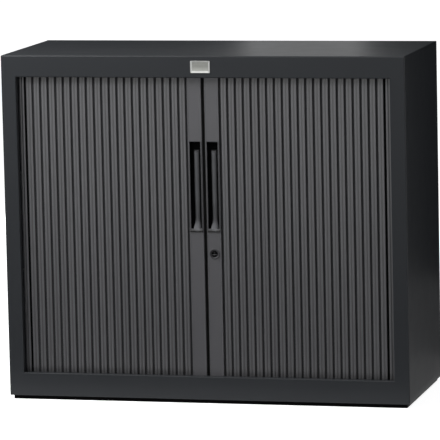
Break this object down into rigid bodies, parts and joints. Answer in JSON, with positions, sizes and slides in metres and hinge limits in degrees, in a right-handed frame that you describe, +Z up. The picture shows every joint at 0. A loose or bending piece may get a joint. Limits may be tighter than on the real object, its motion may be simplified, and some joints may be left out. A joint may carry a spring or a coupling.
{
  "type": "roll front tool cabinet",
  "caption": "Low, wide steel cabinet with two slatted curtain doors that slide aside in tracks, sunk handles, a cylinder lock, shelves and levelling feet.",
  "frame": {"origin": "on the floor, under the middle of the whole box", "axes": "+X to the right as the doors are looked at, -Y is the way the doors face, +Z up"},
  "size_m": [1.2, 0.4746, 1.016],
  "materials": {
    "cabinet_paint": "fine textured powder coat, semi matt",
    "plinth_paint": "matt black paint",
    "slat_plastic": "satin extruded plastic",
    "stile_paint": "satin paint",
    "handle_plastic": "moulded, satin grip",
    "buffer_rubber": "matt",
    "track_plastic": "extruded, matt",
    "glide_nylon": "matt",
    "lock_metal": "dark nickel plate, satin",
    "plated_steel": "zinc plate",
    "rivet_steel": "painted over",
    "foot_steel": "black",
    "badge_rim": "polished, bevelled",
    "badge_face": "satin, bare"
  },
  "bodies": {
    "carcass": {"back_panel": "cabinet_paint", "back_rivets": "rivet_steel", "badge_frame": "badge_rim", "badge_plate": "badge_face", "bottom_panel": "cabinet_paint", "ceiling_panel": "cabinet_paint", "floor_panel": "cabinet_paint", "foot_nuts": "plated_steel", "front_frame": "cabinet_paint", "left_lower_track": "track_plastic", "left_side_liner": "cabinet_paint", "left_side_panel": "cabinet_paint", "left_upper_track": "track_plastic", "lower_shelf": "cabinet_paint", "plinth": "plinth_paint", "rear_liner": "cabinet_paint", "right_lower_track": "track_plastic", "right_side_liner": "cabinet_paint", "right_side_panel": "cabinet_paint", "right_upper_track": "track_plastic", "shelf_clips": "plated_steel", "top_panel": "cabinet_paint", "track_base": "cabinet_paint", "track_head": "cabinet_paint", "upper_shelf": "cabinet_paint"},
    "left_door": {"left_stile": "stile_paint", "left_handle": "handle_plastic", "left_buffer": "buffer_rubber", "left_stile_glides": "glide_nylon", "left_handle_screws": "plated_steel", "lock_keeper": "plated_steel"},
    "right_door": {"right_stile": "stile_paint", "right_handle": "handle_plastic", "right_buffer": "buffer_rubber", "right_stile_glides": "glide_nylon", "right_handle_screws": "plated_steel", "lock_housing": "lock_metal", "lock_nut": "plated_steel"},
    "lock": {"lock_plug": "lock_metal", "lock_cam": "plated_steel", "cam_screw": "plated_steel"},
    "left_curtain_1": {"left_slats_1": "slat_plastic"},
    "left_curtain_2": {"left_slats_2": "slat_plastic"},
    "left_curtain_3": {"left_slats_3": "slat_plastic"},
    "left_curtain_4": {"left_slats_4": "slat_plastic"},
    "left_curtain_5": {"left_slats_5": "slat_plastic"},
    "left_curtain_6": {"left_slats_6": "slat_plastic"},
    "right_curtain_1": {"right_slats_1": "slat_plastic"},
    "right_curtain_2": {"right_slats_2": "slat_plastic"},
    "right_curtain_3": {"right_slats_3": "slat_plastic"},
    "right_curtain_4": {"right_slats_4": "slat_plastic"},
    "right_curtain_5": {"right_slats_5": "slat_plastic"},
    "right_curtain_6": {"right_slats_6": "slat_plastic"},
    "front_left_foot": {"front_left_foot": "foot_steel"},
    "front_right_foot": {"front_right_foot": "foot_steel"},
    "rear_left_foot": {"rear_left_foot": "foot_steel"},
    "rear_right_foot": {"rear_right_foot": "foot_steel"}
  },
  "joints": [
    {"name": "left_door_slide", "type": "slide", "parent": "carcass", "child": "left_door", "axis": [-1, 0, 0], "range_m": [0, 0.505]},
    {"name": "right_door_slide", "type": "slide", "parent": "carcass", "child": "right_door", "axis": [1, 0, 0], "range_m": [0, 0.505]},
    {"name": "left_curtain_1_slide", "type": "slide", "parent": "carcass", "child": "left_curtain_1", "axis": [-1, 0, 0], "range_m": [0, 0.4593], "deforming": ["left_slats_1"]},
    {"name": "left_curtain_2_slide", "type": "slide", "parent": "carcass", "child": "left_curtain_2", "axis": [-1, 0, 0], "range_m": [0, 0.3669], "deforming": ["left_slats_2"]},
    {"name": "left_curtain_3_slide", "type": "slide", "parent": "carcass", "child": "left_curtain_3", "axis": [-1, 0, 0], "range_m": [0, 0.2745], "deforming": ["left_slats_3"]},
    {"name": "left_curtain_4_slide", "type": "slide", "parent": "carcass", "child": "left_curtain_4", "axis": [-1, 0, 0], "range_m": [0, 0.1821], "deforming": ["left_slats_4"]},
    {"name": "left_curtain_5_slide", "type": "slide", "parent": "carcass", "child": "left_curtain_5", "axis": [-1, 0, 0], "range_m": [0, 0.0897], "deforming": ["left_slats_5"]},
    {"name": "left_curtain_6_slide", "type": "slide", "parent": "carcass", "child": "left_curtain_6", "axis": [-1, 0, 0], "range_m": [0, 0.0048], "deforming": ["left_slats_6"]},
    {"name": "right_curtain_1_slide", "type": "slide", "parent": "carcass", "child": "right_curtain_1", "axis": [1, 0, 0], "range_m": [0, 0.4593], "deforming": ["right_slats_1"]},
    {"name": "right_curtain_2_slide", "type": "slide", "parent": "carcass", "child": "right_curtain_2", "axis": [1, 0, 0], "range_m": [0, 0.3669], "deforming": ["right_slats_2"]},
    {"name": "right_curtain_3_slide", "type": "slide", "parent": "carcass", "child": "right_curtain_3", "axis": [1, 0, 0], "range_m": [0, 0.2745], "deforming": ["right_slats_3"]},
    {"name": "right_curtain_4_slide", "type": "slide", "parent": "carcass", "child": "right_curtain_4", "axis": [1, 0, 0], "range_m": [0, 0.1821], "deforming": ["right_slats_4"]},
    {"name": "right_curtain_5_slide", "type": "slide", "parent": "carcass", "child": "right_curtain_5", "axis": [1, 0, 0], "range_m": [0, 0.0897], "deforming": ["right_slats_5"]},
    {"name": "right_curtain_6_slide", "type": "slide", "parent": "carcass", "child": "right_curtain_6", "axis": [1, 0, 0], "range_m": [0, 0.0048], "deforming": ["right_slats_6"]},
    {"name": "lock_turn", "type": "hinge", "parent": "right_door", "child": "lock", "pos_m": [0.0258, -0.21525, 0.438], "axis": [0, 1, 0], "range_deg": [0, 90]},
    {"name": "front_left_foot_travel", "type": "slide", "parent": "carcass", "child": "front_left_foot", "axis": [0, 0, -1], "range_m": [0, 0.015]},
    {"name": "front_right_foot_travel", "type": "slide", "parent": "carcass", "child": "front_right_foot", "axis": [0, 0, -1], "range_m": [0, 0.015]},
    {"name": "rear_left_foot_travel", "type": "slide", "parent": "carcass", "child": "rear_left_foot", "axis": [0, 0, -1], "range_m": [0, 0.015]},
    {"name": "rear_right_foot_travel", "type": "slide", "parent": "carcass", "child": "rear_right_foot", "axis": [0, 0, -1], "range_m": [0, 0.015]}
  ],
  "couplings": [
    {"joint": "left_curtain_1_slide", "follows": "left_door_slide", "ratio": 0.9095},
    {"joint": "left_curtain_2_slide", "follows": "left_door_slide", "ratio": 0.72653},
    {"joint": "left_curtain_3_slide", "follows": "left_door_slide", "ratio": 0.54356},
    {"joint": "left_curtain_4_slide", "follows": "left_door_slide", "ratio": 0.36059},
    {"joint": "left_curtain_5_slide", "follows": "left_door_slide", "ratio": 0.17762},
    {"joint": "left_curtain_6_slide", "follows": "left_door_slide", "ratio": 0.0095049},
    {"joint": "right_curtain_1_slide", "follows": "right_door_slide", "ratio": 0.9095},
    {"joint": "right_curtain_2_slide", "follows": "right_door_slide", "ratio": 0.72653},
    {"joint": "right_curtain_3_slide", "follows": "right_door_slide", "ratio": 0.54356},
    {"joint": "right_curtain_4_slide", "follows": "right_door_slide", "ratio": 0.36059},
    {"joint": "right_curtain_5_slide", "follows": "right_door_slide", "ratio": 0.17762},
    {"joint": "right_curtain_6_slide", "follows": "right_door_slide", "ratio": 0.0095049}
  ]
}
